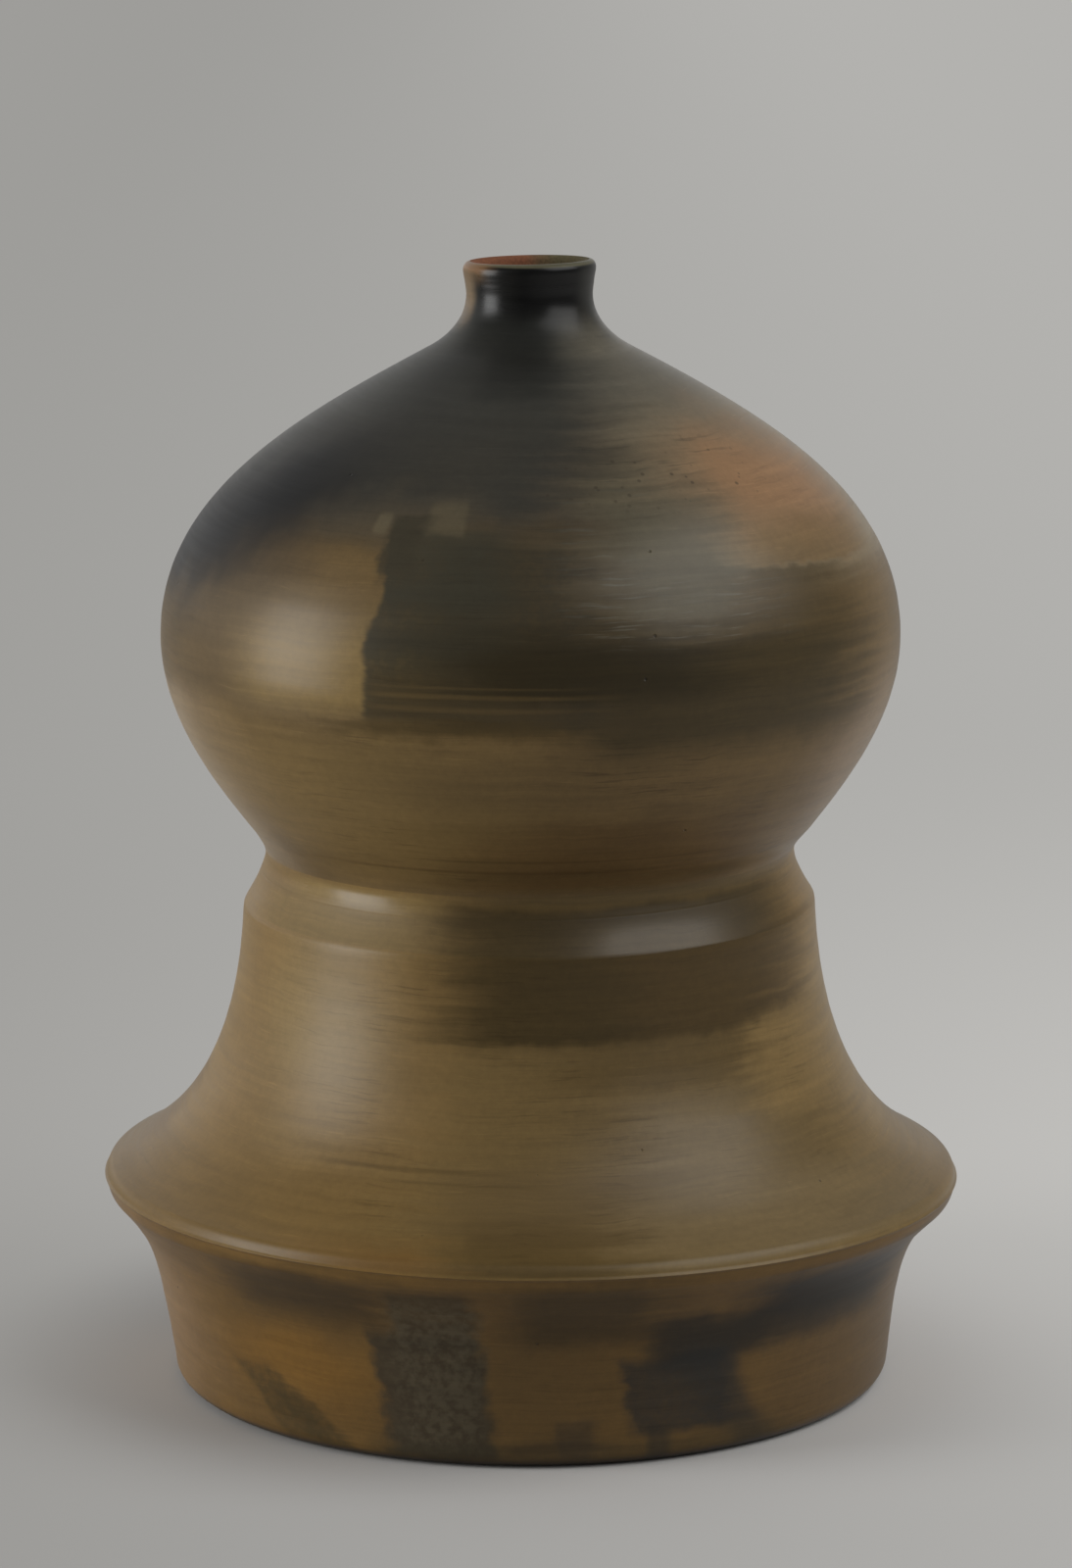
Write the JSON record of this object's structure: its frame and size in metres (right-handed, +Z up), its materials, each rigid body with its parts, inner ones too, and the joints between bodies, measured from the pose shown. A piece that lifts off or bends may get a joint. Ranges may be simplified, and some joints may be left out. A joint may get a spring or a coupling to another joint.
{
  "type": "bottle vase",
  "caption": "Wheel-thrown earthenware bottle vase with a narrow beaded neck, onion-shaped bulb, nipped waist, bell skirt with a wide flange and a flared foot, to stand and hold stems.",
  "frame": {"origin": "centre of the flat base, on the surface that the vase stands on", "axes": "+Z up along the turning axis; the front of the picture faces -Y"},
  "size_m": [0.2746, 0.2746, 0.36],
  "materials": {
    "burnished_foot": "burnished and smoke-fired, tan with dark clouds",
    "burnished_skirt": "burnished and smoke-fired, olive tan",
    "burnished_bulb": "burnished and smoke-fired, olive brown",
    "smoked_neck": "burnished and smoke-fired, near black",
    "raw_clay": "unburnished terracotta, matt"
  },
  "bodies": {
    "root": {"floor_disc": "burnished_foot", "foot_drum": "burnished_foot", "skirt_bell": "burnished_skirt", "waist_collar": "burnished_skirt", "bulb_lower": "burnished_bulb", "bulb_upper": "burnished_bulb", "neck_ring": "smoked_neck", "floor_coil": "raw_clay", "flange_coil": "raw_clay", "collar_coil": "raw_clay", "waist_coil": "raw_clay", "belly_coil": "raw_clay"}
  },
  "joints": []
}
